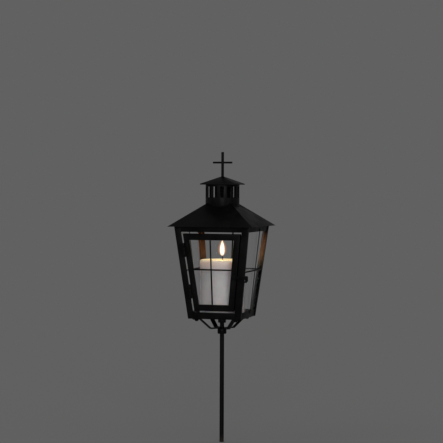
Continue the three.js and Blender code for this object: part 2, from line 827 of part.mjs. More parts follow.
// Vent collar: a rolled strip with upright slots, plain where its ends lap
function buildCollar() {
  const outer = collarDiameter / 2;
  const foot = eaveZ + collarFootZ;
  const top = collarTop();
  const inner = outer - collarSheet;
  const tube = turned([[inner, foot], [outer, foot], [outer, top], [inner, top], [inner, foot]], collarFacets);
  const slotFoot = eaveZ + ventFootZ;
  const slotShape = polygon([
    [-ventWidth / 2, inner - pastWall],
    [ventWidth / 2, inner - pastWall],
    [ventWidth / 2, outer + pastWall],
    [-ventWidth / 2, outer + pastWall],
  ]);
  const slot = plate(slotShape, slotFoot, slotFoot + ventHeight);
  const slots = [];
  for (let place = ventPlain; place < ventPlaces - ventPlain; place += 1) {
    const turn = ventSeamTurn - 90 + (360 * (place + 0.5)) / ventPlaces;
    slots.push(slot.clone().rotateZ(THREE.MathUtils.degToRad(turn)));
  }
  piece("vent_collar", cut(tube, slots), metal);
}

// The collar reaches up to the cap's underside at the middle of each cap side
function collarTop() {
  return capUnderside(collarDiameter / 2) - seat;
}

function capUnderside(half) {
  const fall = capRise / (capWidth / 2);
  const thickness = capSheet / Math.cos(Math.atan(fall));
  return eaveZ + capZ + capLip + (capWidth / 2 - half) * fall - thickness;
}

// Cap: a low pyramid with a short upright lip and a hole for the cross
function buildCap() {
  const half = capWidth / 2;
  const foot = eaveZ + capZ;
  const peak = foot + capLip + capRise;
  const shell = squareTurned([
    [0, peak],
    [half, foot + capLip],
    [half, foot],
    [half - capSheet, foot],
    [half - capSheet, capUnderside(half - capSheet)],
    [0, capUnderside(0)],
  ]);
  const hole = roundBar(crossRod / 2 + seat, foot, peak + pastWall, 20);
  piece("cap", cut(shell, [hole]), metal);
}

// Cross: a rod with a level arm brazed through it, screwed to a bridge inside the collar
function buildCross() {
  const rodTop = eaveZ + crossTopZ;
  const bridgeTop = eaveZ + bridgeZ;
  const nutTop = bridgeTop - bridgeSheet - seat;
  const rodFoot = nutTop - crossNutHeight - crossTail;
  const radius = crossRod / 2;
  const rod = turned([
    [0, rodFoot],
    [radius - smallChamfer, rodFoot],
    [radius, rodFoot + smallChamfer],
    [radius, rodTop - smallChamfer],
    [radius - smallChamfer, rodTop],
    [0, rodTop],
  ], 20);
  const halfArm = crossArmLength / 2;
  const armRadius = crossArmDiameter / 2;
  const arm = turned([
    [0, -halfArm],
    [armRadius - smallChamfer, -halfArm],
    [armRadius, smallChamfer - halfArm],
    [armRadius, halfArm - smallChamfer],
    [armRadius - smallChamfer, halfArm],
    [0, halfArm],
  ], 16);
  arm.rotateY(Math.PI / 2).translate(0, 0, eaveZ + crossArmZ);
  piece("cross", join([rod, arm]), metal);
  piece("cross_nut", hexNut(crossNutAcross, radius + running, nutTop - crossNutHeight, nutTop), zinc);
  buildBridge(bridgeTop);
}

// Bridge: a strip across the collar with its ends turned down against the collar's wall
function buildBridge(top) {
  const wall = collarDiameter / 2 - collarSheet;
  const reach = Math.sqrt((wall - seat) ** 2 - (bridgeWidth / 2) ** 2);
  const side = polygon([
    [-reach, top],
    [-reach, top - bridgeEar],
    [bridgeSheet - reach, top - bridgeEar],
    [bridgeSheet - reach, top - bridgeSheet],
    [reach - bridgeSheet, top - bridgeSheet],
    [reach - bridgeSheet, top - bridgeEar],
    [reach, top - bridgeEar],
    [reach, top],
  ]);
  const strip = plate(side, -bridgeWidth / 2, bridgeWidth / 2).rotateX(Math.PI / 2);
  const hole = roundBar(crossRod / 2 + running, top - bridgeSheet - pastWall, top + pastWall, 20);
  piece("cap_bridge", cut(strip, [hole]), metal);
}

// Candle: a pillar with a rounded rim and a shallow pool, its wick, and the flame
function buildCandle() {
  const foot = panFloorZ + seat;
  const rim = foot + candleHeight;
  const radius = candleDiameter / 2;
  const poolRadius = radius - candleRimWidth;
  const arc = [0, 1, 2, 3, 4].map((step) => {
    const angle = (step / 4) * (Math.PI / 2);
    const inset = candleRimRadius * (1 - Math.cos(angle));
    return [radius - inset, rim - candleRimRadius * (1 - Math.sin(angle))];
  });
  const poolLevel = rim - candlePoolDepth;
  const pool = [1, 0.8, 0.5, 0.2].map((share) => {
    return [poolRadius * share, poolLevel + candlePoolLip * share ** 4];
  });
  const wickRadius = wickDiameter / 2;
  piece("candle", turned([
    [0, foot],
    [radius - candleFootChamfer, foot],
    [radius, foot + candleFootChamfer],
    ...arc,
    ...pool,
    [0, poolLevel],
  ], 64), wax);

  const wickFoot = poolLevel + seat;
  const wickTop = poolLevel + wickHeight;
  piece("wick", roundBar(wickRadius, wickFoot, wickTop, 12), wickFinish);

  const flameRadius = flameDiameter / 2;
  const flameFoot = wickTop + seat;
  const swell = flameRadius - flameFootDiameter / 2;
  const belly = [0.3, 0.6, 1].map((share) => [
    flameFootDiameter / 2 + swell * Math.sin((share * Math.PI) / 2),
    flameFoot + flameWidestAt * share,
  ]);
  const tipLength = flameHeight - flameWidestAt;
  const tip = [0.3, 0.55, 0.75, 0.9].map((share) => [
    flameRadius * Math.sqrt(1 - share ** 2),
    flameFoot + flameWidestAt + tipLength * share,
  ]);
  piece("flame", turned([
    [0, flameFoot],
    [flameFootDiameter / 2, flameFoot],
    ...belly,
    ...tip,
    [0, flameFoot + flameHeight],
  ], 20), flameFinish);
}

buildStake();
buildCradle();
buildPan();
buildPosts();
buildTopRails();
buildFixedFaces();
buildDoor();
buildHinges();
buildLatch();
buildRoof();
buildCollar();
buildCap();
buildCross();
buildCandle();

export default lantern;
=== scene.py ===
"""Looks of a staked grave lantern with a burning candle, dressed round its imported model."""

import json
import math

import bmesh
import bpy
from mathutils import Matrix, Vector, noise

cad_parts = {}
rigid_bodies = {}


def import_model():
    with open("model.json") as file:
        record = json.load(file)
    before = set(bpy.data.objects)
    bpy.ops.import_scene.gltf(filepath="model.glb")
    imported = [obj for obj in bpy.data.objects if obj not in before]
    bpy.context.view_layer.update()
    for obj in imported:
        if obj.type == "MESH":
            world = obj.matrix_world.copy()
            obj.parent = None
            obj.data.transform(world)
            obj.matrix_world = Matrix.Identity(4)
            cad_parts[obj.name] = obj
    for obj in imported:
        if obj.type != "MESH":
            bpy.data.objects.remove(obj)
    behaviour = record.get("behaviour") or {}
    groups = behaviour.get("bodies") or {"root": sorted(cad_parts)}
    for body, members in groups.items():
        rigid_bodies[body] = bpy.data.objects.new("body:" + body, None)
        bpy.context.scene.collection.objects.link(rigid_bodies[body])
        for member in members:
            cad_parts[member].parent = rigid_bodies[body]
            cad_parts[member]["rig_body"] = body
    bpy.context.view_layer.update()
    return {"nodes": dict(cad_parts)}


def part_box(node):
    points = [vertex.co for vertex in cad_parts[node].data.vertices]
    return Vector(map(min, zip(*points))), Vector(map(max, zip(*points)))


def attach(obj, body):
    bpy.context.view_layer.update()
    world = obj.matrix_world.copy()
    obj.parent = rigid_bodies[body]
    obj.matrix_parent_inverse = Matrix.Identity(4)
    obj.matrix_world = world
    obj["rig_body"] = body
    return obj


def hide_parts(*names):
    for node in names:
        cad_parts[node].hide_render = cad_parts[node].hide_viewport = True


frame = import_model()

bl_info = {
    "name": "Grave lantern",
    "version": (1, 0, 0),
    "blender": (4, 5, 0),
    "location": "3D View > Sidebar > Lantern",
    "description": "Dresses the packed grave lantern: painted sheet, glass, candle and flame",
    "category": "Object",
}

MM = 0.001
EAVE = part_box("roof")[0].z  # underside of the roof's edge
BODY_FOOT_HALF = 50 * MM  # half of the glazed body's width at its foot
MERGE = 0.001 * MM  # points closer than this are one point
SMOOTH_ANGLE = math.radians(34)  # edges sharper than this stay sharp in the shading
EASED_ANGLE = math.radians(32)  # edges sharper than this are eased
FLAT_ANGLE = math.radians(0.5)  # faces that differ by less are one flat face

COAT_GLOSS = 0.12  # share of a new coat's gloss that dust and weather have left
GLASS_IOR = 1.12
WAX_IOR = 1.44
WAX_GLOW = 0.3  # the flame's light inside the wax at the rim
FLAME_SEEN = 1.8  # the flame's brightness to the eye
FLAME_THROWN = 110.0  # the flame's light on wax and metal
SKY_LIGHT = 0.78
LAMP_SPREAD = math.radians(40)
LAMPS = (("key", 0.8, 22, 17), ("fill", 0.25, -60, 35))  # name, strength, azimuth and elevation in degrees

# Each of the flame's outer layers: its width and height against the flame's, and how much of it is light
FLAME_LAYERS = ((0.9, 0.98, 0.26), (1.08, 1.0, 0.17), (1.36, 1.03, 0.1), (1.75, 1.07, 0.05))
# The flame's outline: radius and height, both as shares
FLAME_OUTLINE = (
    (0, 0), (0.3, 0.005), (0.52, 0.03), (0.72, 0.09), (0.9, 0.18), (0.98, 0.28), (1, 0.38), (0.96, 0.5),
    (0.85, 0.62), (0.68, 0.73), (0.49, 0.82), (0.3, 0.9), (0.14, 0.96), (0, 1),
)

DOOR_PIECES = ("door_frame", "door_bars", "door_clip_upper_left", "door_clip_upper_right",
               "door_clip_lower_left", "door_clip_lower_right")
POST_PIECES = ("post_front_left", "post_front_right", "post_rear_left", "post_rear_right")
SHEET_PIECES = (
    "base_pan", "top_rail_front", "top_rail_right", "top_rail_rear", "top_rail_left",
    "bars_right", "bars_rear", "bars_left",
    "pane_clip_right_front", "pane_clip_right_rear", "pane_clip_rear_right",
    "pane_clip_rear_left", "pane_clip_left_rear", "pane_clip_left_front",
)
ROOF_PIECES = ("roof", "vent_collar", "cap", "cap_bridge")
IRON_PIECES = (
    "stake", "hub", "strap_front_right", "strap_rear_right", "strap_rear_left", "strap_front_left",
    "strap_rivet_front_right", "strap_rivet_rear_right", "strap_rivet_rear_left", "strap_rivet_front_left",
    "cross",
)
HINGE_PIECES = (
    "hinge_upper_post_leaf", "hinge_upper_door_leaf", "hinge_upper_pin",
    "hinge_lower_post_leaf", "hinge_lower_door_leaf", "hinge_lower_pin",
    "latch_lever", "latch_rivet", "catch_stud",
)
ZINC_PIECES = ("stake_washer", "stake_nut", "cross_nut")
PANES = ("pane_right", "pane_rear", "pane_left", "door_pane")


def srgb(code):
    """A hex colour as linear red, green and blue."""
    parts = [int(code[n:n + 2], 16) / 255 for n in (1, 3, 5)]
    return tuple(c / 12.92 if c <= 0.04045 else ((c + 0.055) / 1.055) ** 2.4 for c in parts)


def colour(name, description, code):
    return bpy.props.FloatVectorProperty(
        name=name, description=description, subtype="COLOR", size=3, min=0, max=1, default=srgb(code))


def length(name, description, millimetres):
    return bpy.props.FloatProperty(
        name=name, description=description, subtype="DISTANCE", unit="LENGTH", min=0,
        default=millimetres * MM)


class LanternSizes(bpy.types.PropertyGroup):
    sheet_edge: length("Sheet edge", "Width of the eased edges of the folded sheet", 0.18)
    iron_edge: length("Bar edge", "Width of the eased edges of straps, hub and cross", 0.35)
    small_edge: length("Small edge", "Width of the eased edges of hinges, latch and nuts", 0.15)
    coat_peel: length("Coat ripple", "Spacing of the orange peel in the powder coat", 1.4)
    coat_peel_depth: length("Coat ripple depth", "Height of the orange peel", 0.02)
    dust_patch: length("Dust patch", "Spacing of the dull patches on the coat", 26)
    wear_patch: length("Wear patch", "Spacing of the places where the coat is thin along the edges", 4)
    bar_ripple: length("Lacquer ripple", "Spacing of the ripples in the bars' lacquer", 3)
    bar_ripple_depth: length("Lacquer ripple depth", "Height of the ripples in the lacquer", 0.04)
    # painted light: how far above and below the flame's middle its amber glow is painted on the posts
    painted_glow_height: length("Painted flame glow", "How far above and below the flame's middle the painted flame glow reaches", 36)
    stop_sheet: length("Stop sheet", "Thickness of the door stop's strip", 0.8)
    stop_depth: length("Stop depth", "The door stop's lip behind the body's front", 6.7)
    stop_reach: length("Stop reach", "The door stop's lip from the body's side", 15.2)
    zinc_spangle: length("Zinc grain", "Spacing of the plating's grain", 0.8)
    glass_wave: length("Glass wave", "Spacing of the waves in the drawn glass", 45)
    glass_wave_depth: length("Glass wave depth", "Height of the waves in the glass", 0.4)
    rim_wave: length("Rim wave", "How far the candle's rim wanders as it melts", 0.5)
    wax_mottle: length("Wax mottle", "Spacing of the cloudy patches in the wax", 9)
    wax_bump: length("Wax bump", "Height of the unevenness of the wax", 0.1)
    pool_skin: length("Pool skin", "Spacing of the cloudy patches in the molten wax", 12)
    wick_twist: length("Wick twist", "Height of one turn of the wick's strands", 5)
    wick_fibre: length("Wick fibre", "Spacing of the charred fibres", 0.4)
    wick_fibre_depth: length("Wick fibre depth", "Height of the charred fibres", 0.1)
    wick_lean: length("Wick lean", "How far the wick's burnt end leans over", 0.9)
    glow_depth: length("Glow depth", "How far the flame's light reaches down in the wax", 24)
    soil_height: length("Soil height", "How high the soil's splashes reach up the stake", 30)
    soil_splash: length("Soil splash", "Spacing of the soil's splashes", 5)


class LanternColours(bpy.types.PropertyGroup):
    coat: colour("Powder coat", "Black powder coat on the sheet", "#050505")
    coat_dust: colour("Dust", "Dry dust on the powder coat", "#0b0b0a")
    # painted light: amber glow of the flame painted on the posts' inner faces, also standing for heat
    # browning
    painted_flame_glow: colour("Painted flame glow", "Painted amber glow of the flame on the posts' inner faces, also a heat stain", "#5c3f2c")
    worn: colour("Worn edge", "Thin coat on the eased edges", "#121212")
    iron: colour("Bar lacquer", "Black lacquer on the stake, straps and cross", "#030303")
    soil: colour("Soil", "Dried soil at the foot of the stake", "#1d1712")
    zinc: colour("Zinc", "Dull zinc plating, darkened by soot", "#2a2a2c")
    glass: colour("Glass", "Body colour of the panes", "#fefefe")
    wax: colour("Wax", "Paraffin wax", "#d0cccc")
    wax_pool: colour("Molten wax", "Clear wax under the flame", "#e6d3b0")
    wax_glow: colour("Wax glow", "Flame light inside the wax at the rim", "#ffe9a8")
    wax_deep_glow: colour("Deep wax glow", "Flame light that reaches deeper into the wax", "#ff8a58")
    wick: colour("Wick", "Burnt cotton", "#030202")
    wick_foot: colour("Wick foot", "Cotton soaked with wax, at the wick's foot", "#040201")
    ember: colour("Ember", "Glowing end of the wick", "#ff7a2a")
    flame: colour("Flame", "What the eye sees of the flame's body", "#fffdf4")
    flame_tip: colour("Flame tip", "What the eye sees of the flame's tip", "#ffe6b8")
    flame_inner: colour("Flame inner layer", "What the eye sees of the flame's first outer layer", "#ffe2b4")
    flame_edge: colour("Flame edge", "What the eye sees of the flame's outermost layers", "#f0904a")
    flame_light: colour("Flame light", "Light that the flame throws on wax and metal", "#ffdb98")
    backdrop: colour("Backdrop", "Grey that the camera sees behind the lantern", "#616161")
    floor_seen: colour(
        "Floor to the eye", "Grey that turns into the backdrop's under the studio light", "#666666")
    floor: colour("Floor", "Pale floor that lights the lantern from below", "#c9c8c6")


def add(tree, kind, inputs=None, **settings):
    """A node with its settings, and inputs that are values or other nodes' outputs."""
    made = tree.nodes.new(kind)
    for name, value in settings.items():
        setattr(made, name, value)
    for name, value in (inputs or {}).items():
        if isinstance(value, bpy.types.NodeSocket):
            tree.links.new(value, made.inputs[name])
        else:
            made.inputs[name].default_value = value
    return made


def fresh_material(name):
    material = bpy.data.materials.new(name)
    material.use_nodes = True
    material.node_tree.nodes.clear()
    return material, material.node_tree


def finish_surface(tree, shader):
    add(tree, "ShaderNodeOutputMaterial", {"Surface": shader})


def opaque(rgb):
    return (*rgb, 1)


def black_powder_coat(colours, sizes, glow_painted=False):
    """Powder coat baked on steel sheet: fine orange peel breaks the highlights, and dust dulls it in patches.
    With painted glow, it is the corner posts' coat: amber light of the flame painted on their inner faces,
    read also as heat browning."""
    material, tree = fresh_material("flame_glow_painted_powder_coat" if glow_painted else "black_powder_coated_sheet")
    place = add(tree, "ShaderNodeTexCoord").outputs["Object"]
    peel = add(tree, "ShaderNodeTexNoise", {"Vector": place, "Scale": 1 / sizes.coat_peel, "Detail": 2.0})
    bump = add(tree, "ShaderNodeBump", {
        "Height": peel.outputs["Fac"], "Strength": 0.6, "Distance": sizes.coat_peel_depth})
    patch = add(tree, "ShaderNodeTexNoise", {"Vector": place, "Scale": 1 / sizes.dust_patch, "Detail": 5.0})
    dull = add(tree, "ShaderNodeMapRange", {
        "Value": patch.outputs["Fac"], "From Min": 0.35, "From Max": 0.7, "To Min": 0.36, "To Max": 0.52})
    dusty = add(tree, "ShaderNodeMapRange", {
        "Value": patch.outputs["Fac"], "From Min": 0.42, "From Max": 0.75, "To Min": 0.0, "To Max": 1.0})
    dusted = add(tree, "ShaderNodeMix", {
        "Factor": dusty.outputs["Result"], "A": opaque(colours.coat), "B": opaque(colours.coat_dust),
    }, data_type="RGBA")
    coat = dusted
    # painted light: the flame's amber glow is painted into the posts' coat near the flame, on faces turned to
    # it
    if glow_painted:
        coat = add(tree, "ShaderNodeMix", {
            "Factor": painted_flame_glow(tree, place, patch, sizes), "A": dusted.outputs["Result"],
            "B": opaque(colours.painted_flame_glow)}, data_type="RGBA")
    return finish_coat(tree, material, coat, colours, sizes, place, dull, bump)


def painted_flame_glow(tree, place, patch, sizes):
    """Mask of the painted flame glow: amber light of the flame painted near the flame's height, on what faces
    the stake's axis; it also stands for heat browning.
    """
    spot = add(tree, "ShaderNodeSeparateXYZ", {"Vector": place})
    outward = add(tree, "ShaderNodeCombineXYZ", {"X": spot.outputs["X"], "Y": spot.outputs["Y"]})
    aim = add(tree, "ShaderNodeVectorMath", {0: outward.outputs["Vector"]}, operation="NORMALIZE")
    surface = add(tree, "ShaderNodeNewGeometry")
    facing = add(tree, "ShaderNodeVectorMath", {
        0: aim.outputs["Vector"], 1: surface.outputs["Normal"]}, operation="DOT_PRODUCT")
    inside = add(tree, "ShaderNodeMapRange", {
        "Value": facing.outputs["Value"], "From Min": 0.0, "From Max": -0.5, "To Min": 0.0, "To Max": 1.0})
    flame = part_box("flame")
    offset = add(tree, "ShaderNodeMath", {
        0: spot.outputs["Z"], 1: (flame[0].z + flame[1].z) / 2}, operation="SUBTRACT")
    height = add(tree, "ShaderNodeMath", {0: offset.outputs["Value"]}, operation="ABSOLUTE")
    # the painted glow fades with height away from the flame's middle
    near = add(tree, "ShaderNodeMapRange", {
        "Value": height.outputs["Value"], "From Min": sizes.painted_glow_height / 3, "From Max": sizes.painted_glow_height,
        "To Min": 1.0, "To Max": 0.0}, interpolation_type="SMOOTHSTEP")
    uneven = add(tree, "ShaderNodeMapRange", {
        "Value": patch.outputs["Fac"], "From Min": 0.3, "From Max": 0.6, "To Min": 0.6, "To Max": 1.0})
    both = add(tree, "ShaderNodeMath", {
        0: inside.outputs["Result"], 1: near.outputs["Result"]}, operation="MULTIPLY")
    return add(tree, "ShaderNodeMath", {
        0: both.outputs["Value"], 1: uneven.outputs["Result"]}, operation="MULTIPLY").outputs["Value"]


def finish_coat(tree, material, coat, colours, sizes, place, dull, bump):
    """Ends a black coat's material: the coat thins out in places along the eased edges."""
    edge = add(tree, "ShaderNodeAttribute", attribute_name="eased_edge")
    broken = add(tree, "ShaderNodeTexNoise", {"Vector": place, "Scale": 1 / sizes.wear_patch, "Detail": 3.0})
    share = add(tree, "ShaderNodeMapRange", {
        "Value": broken.outputs["Fac"], "From Min": 0.45, "From Max": 0.6, "To Min": 0.0, "To Max": 1.0})
    worn = add(tree, "ShaderNodeMath", {
        0: edge.outputs["Fac"], 1: share.outputs["Result"]}, operation="MULTIPLY")
    base = add(tree, "ShaderNodeMix", {
        "Factor": worn.outputs["Value"], "A": coat.outputs["Result"], "B": opaque(colours.worn),
    }, data_type="RGBA")
    shader = add(tree, "ShaderNodeBsdfPrincipled", {
        "Base Color": base.outputs["Result"], "Roughness": dull.outputs["Result"], "IOR": 1.5,
        "Specular IOR Level": COAT_GLOSS, "Normal": bump.outputs["Normal"]})
    finish_surface(tree, shader.outputs["BSDF"])
    return material


def black_bar_lacquer(colours, sizes):
    """Brushed black lacquer on mild steel bar: long soft ripples, and dried soil on the stake's foot."""
    material, tree = fresh_material("black_lacquered_bar")
    place = add(tree, "ShaderNodeTexCoord").outputs["Object"]
    ripple = add(tree, "ShaderNodeTexNoise", {"Vector": place, "Scale": 1 / sizes.bar_ripple, "Detail": 3.0})
    bump = add(tree, "ShaderNodeBump", {
        "Height": ripple.outputs["Fac"], "Strength": 0.5, "Distance": sizes.bar_ripple_depth})
    dull = add(tree, "ShaderNodeMapRange", {
        "Value": ripple.outputs["Fac"], "From Min": 0.3, "From Max": 0.7, "To Min": 0.38, "To Max": 0.55})
    height = add(tree, "ShaderNodeSeparateXYZ", {"Vector": place})
    splash = add(tree, "ShaderNodeTexNoise", {"Vector": place, "Scale": 1 / sizes.soil_splash, "Detail": 6.0})
    low = add(tree, "ShaderNodeMapRange", {
        "Value": height.outputs["Z"], "From Min": 0.0, "From Max": sizes.soil_height,
        "To Min": 0.75, "To Max": 0.0})
    stain = add(tree, "ShaderNodeMath", {
        0: splash.outputs["Fac"], 1: low.outputs["Result"]}, operation="MULTIPLY")
    soiled = add(tree, "ShaderNodeMapRange", {
        "Value": stain.outputs["Value"], "From Min": 0.18, "From Max": 0.3, "To Min": 0.0, "To Max": 1.0})
    coat = add(tree, "ShaderNodeMix", {
        "Factor": soiled.outputs["Result"], "A": opaque(colours.iron), "B": opaque(colours.soil),
    }, data_type="RGBA")
    return finish_coat(tree, material, coat, colours, sizes, place, dull, bump)


def dull_zinc_plate(colours, sizes):
    """Zinc plating gone dull outdoors and sooty: a fine cloudy grain over dark grey metal."""
    material, tree = fresh_material("dull_zinc_plating")
    place = add(tree, "ShaderNodeTexCoord").outputs["Object"]
    grain = add(tree, "ShaderNodeTexNoise", {"Vector": place, "Scale": 1 / sizes.zinc_spangle, "Detail": 4.0})
    dull = add(tree, "ShaderNodeMapRange", {
        "Value": grain.outputs["Fac"], "From Min": 0.3, "From Max": 0.7, "To Min": 0.4, "To Max": 0.62})
    shade = add(tree, "ShaderNodeMix", {
        "Factor": grain.outputs["Fac"], "A": opaque(colours.zinc),
        "B": opaque([c * 0.45 for c in colours.zinc]),
    }, data_type="RGBA")
    shader = add(tree, "ShaderNodeBsdfPrincipled", {
        "Base Color": shade.outputs["Result"], "Metallic": 0.9, "Roughness": dull.outputs["Result"]})
    finish_surface(tree, shader.outputs["BSDF"])
    return material


def clear_window_glass(colours, sizes):
    """Thin drawn window glass, nearly clear. Its IOR is set low, as the panes mirror little of the studio."""
    material, tree = fresh_material("clear_window_glass")
    place = add(tree, "ShaderNodeTexCoord").outputs["Object"]
    wave = add(tree, "ShaderNodeTexNoise", {"Vector": place, "Scale": 1 / sizes.glass_wave, "Detail": 1.0})
    bump = add(tree, "ShaderNodeBump", {
        "Height": wave.outputs["Fac"], "Strength": 0.15, "Distance": sizes.glass_wave_depth})
    pane = add(tree, "ShaderNodeBsdfPrincipled", {
        "Base Color": opaque(colours.glass), "Roughness": 0.0, "IOR": GLASS_IOR, "Transmission Weight": 1.0,
        "Normal": bump.outputs["Normal"]})
    clear = add(tree, "ShaderNodeBsdfTransparent", {"Color": opaque(colours.glass)})
    path = add(tree, "ShaderNodeLightPath")
    shader = add(tree, "ShaderNodeMixShader", {
        0: path.outputs["Is Shadow Ray"], 1: pane.outputs["BSDF"], 2: clear.outputs["BSDF"]})
    finish_surface(tree, shader.outputs["Shader"])
    return material


def paraffin_wax(colours, sizes, rim):
    """Cast paraffin candle wax: cloudy and translucent, and the flame makes its top glow."""
    material, tree = fresh_material("cast_paraffin_wax")
    place = add(tree, "ShaderNodeTexCoord").outputs["Object"]
    cloud = add(tree, "ShaderNodeTexNoise", {"Vector": place, "Scale": 1 / sizes.wax_mottle, "Detail": 4.0})
    tone = add(tree, "ShaderNodeMapRange", {
        "Value": cloud.outputs["Fac"], "From Min": 0.3, "From Max": 0.7, "To Min": 0.0, "To Max": 1.0})
    shade = add(tree, "ShaderNodeMix", {
        "Factor": tone.outputs["Result"], "A": opaque(colours.wax),
        "B": opaque([c * 0.93 for c in colours.wax]),
    }, data_type="RGBA")
    bump = add(tree, "ShaderNodeBump", {
        "Height": cloud.outputs["Fac"], "Strength": 0.2, "Distance": sizes.wax_bump})
    height = add(tree, "ShaderNodeSeparateXYZ", {"Vector": place})
    near = add(tree, "ShaderNodeMapRange", {
        "Value": height.outputs["Z"], "From Min": rim - sizes.glow_depth, "From Max": rim,
        "To Min": 0.0, "To Max": 1.0})
    fade = add(tree, "ShaderNodeMath", {0: near.outputs["Result"], 1: 2.2}, operation="POWER")
    glow = add(tree, "ShaderNodeMath", {0: fade.outputs["Value"], 1: WAX_GLOW}, operation="MULTIPLY")
    tint = add(tree, "ShaderNodeMix", {
        "Factor": fade.outputs["Value"], "A": opaque(colours.wax_deep_glow), "B": opaque(colours.wax_glow),
    }, data_type="RGBA")
    shader = add(tree, "ShaderNodeBsdfPrincipled", {
        "Base Color": shade.outputs["Result"], "Roughness": 0.42, "IOR": WAX_IOR,
        "Subsurface Weight": 0.4, "Subsurface Radius": (1.0, 0.5, 0.35), "Subsurface Scale": 6 * MM,
        "Emission Color": tint.outputs["Result"], "Emission Strength": glow.outputs["Value"],
        "Normal": bump.outputs["Normal"]})
    finish_surface(tree, shader.outputs["BSDF"])
    return material


def molten_wax(colours, sizes):
    """Molten wax round the wick: wet, warm and almost clear."""
    material, tree = fresh_material("molten_paraffin")
    place = add(tree, "ShaderNodeTexCoord").outputs["Object"]
    skin = add(tree, "ShaderNodeTexNoise", {"Vector": place, "Scale": 1 / sizes.pool_skin, "Detail": 2.0})
    shade = add(tree, "ShaderNodeMix", {
        "Factor": skin.outputs["Fac"], "A": opaque(colours.wax_pool), "B": opaque(colours.wax),
    }, data_type="RGBA")
    shader = add(tree, "ShaderNodeBsdfPrincipled", {
        "Base Color": shade.outputs["Result"], "Roughness": 0.08, "IOR": WAX_IOR,
        "Emission Color": opaque(colours.wax_glow), "Emission Strength": WAX_GLOW})
    finish_surface(tree, shader.outputs["BSDF"])
    return material


def burnt_cotton(colours, sizes, low, high):
    """Braided cotton, charred black, its tip still glowing."""
    material, tree = fresh_material("burnt_cotton_braid")
    place = add(tree, "ShaderNodeTexCoord").outputs["Object"]
    fibre = add(tree, "ShaderNodeTexNoise", {"Vector": place, "Scale": 1 / sizes.wick_fibre, "Detail": 4.0})
    bump = add(tree, "ShaderNodeBump", {
        "Height": fibre.outputs["Fac"], "Strength": 0.8, "Distance": sizes.wick_fibre_depth})
    height = add(tree, "ShaderNodeSeparateXYZ", {"Vector": place})
    waxed = add(tree, "ShaderNodeMapRange", {
        "Value": height.outputs["Z"], "From Min": low, "From Max": low + (high - low) * 0.4,
        "To Min": 1.0, "To Max": 0.0})
    shade = add(tree, "ShaderNodeMix", {
        "Factor": waxed.outputs["Result"], "A": opaque(colours.wick), "B": opaque(colours.wick_foot),
    }, data_type="RGBA")
    ember = add(tree, "ShaderNodeMapRange", {
        "Value": height.outputs["Z"], "From Min": high - 1.5 * MM, "From Max": high,
        "To Min": 0.0, "To Max": 0.8})
    shader = add(tree, "ShaderNodeBsdfPrincipled", {
        "Base Color": shade.outputs["Result"], "Roughness": 0.9, "Specular IOR Level": 0.05,
        "Emission Color": opaque(colours.ember), "Emission Strength": ember.outputs["Result"],
        "Normal": bump.outputs["Normal"]})
    finish_surface(tree, shader.outputs["BSDF"])
    return material


def candle_flame(colours, low, high):
    """The flame's luminous body: its foot is dimmer to the eye and its tip warmer, and it lights the wax."""
    material, tree = fresh_material("candle_flame_body")
    place = add(tree, "ShaderNodeTexCoord").outputs["Object"]
    height = add(tree, "ShaderNodeSeparateXYZ", {"Vector": place})
    up = add(tree, "ShaderNodeMapRange", {
        "Value": height.outputs["Z"], "From Min": low, "From Max": high, "To Min": 0.0, "To Max": 1.0})
    ramp = add(tree, "ShaderNodeValToRGB", {"Fac": up.outputs["Result"]})
    stops = ramp.color_ramp.elements
    stops[0].position, stops[0].color = 0.0, opaque([c * 0.6 for c in colours.flame])
    stops[1].position, stops[1].color = 1.0, opaque(colours.flame_tip)
    for position, shade in ((0.14, colours.flame), (0.75, colours.flame)):
        stops.new(position).color = opaque(shade)
    seen = add(tree, "ShaderNodeEmission", {"Color": ramp.outputs["Color"], "Strength": FLAME_SEEN})
    thrown = add(tree, "ShaderNodeEmission", {"Color": opaque(colours.flame_light), "Strength": FLAME_THROWN})
    light = add(tree, "ShaderNodeMixShader", {
        0: sight_rays(tree), 1: thrown.outputs["Emission"], 2: seen.outputs["Emission"]})
    finish_surface(tree, light.outputs["Shader"])
    return material


def flame_layer(colours, number, outward, share):
    """One of the flame's outer layers: thin light that can be seen through, cream inside, amber outside."""
    material, tree = fresh_material(f"candle_flame_layer_{number}")
    shade = [a + (b - a) * outward for a, b in zip(colours.flame_inner, colours.flame_edge)]
    light = add(tree, "ShaderNodeEmission", {"Color": opaque(shade), "Strength": 1.0})
    clear = add(tree, "ShaderNodeBsdfTransparent", {"Color": (1, 1, 1, 1)})
    shader = add(tree, "ShaderNodeMixShader", {
        0: share, 1: clear.outputs["BSDF"], 2: light.outputs["Emission"]})
    finish_surface(tree, shader.outputs["Shader"])
    return material


def sight_rays(tree):
    """1 for rays that the camera sees the stage by, directly, in a gloss or through glass."""
    path = add(tree, "ShaderNodeLightPath")
    straight = add(tree, "ShaderNodeMath", {
        0: path.outputs["Is Camera Ray"], 1: path.outputs["Is Glossy Ray"]}, operation="ADD")
    seen = add(tree, "ShaderNodeMath", {
        0: straight.outputs["Value"], 1: path.outputs["Is Transmission Ray"],
    }, operation="ADD", use_clamp=True)
    return seen.outputs["Value"]


def pale_studio_floor(colours):
    """Smooth painted board: pale for the light that it throws, and the backdrop's grey to the eye."""
    material, tree = fresh_material("painted_studio_floor")
    shade = add(tree, "ShaderNodeMix", {
        "Factor": sight_rays(tree), "A": opaque(colours.floor), "B": opaque(colours.floor_seen),
    }, data_type="RGBA")
    shader = add(tree, "ShaderNodeBsdfPrincipled", {
        "Base Color": shade.outputs["Result"], "Roughness": 0.9, "Specular IOR Level": 0.0})
    finish_surface(tree, shader.outputs["BSDF"])
    return material


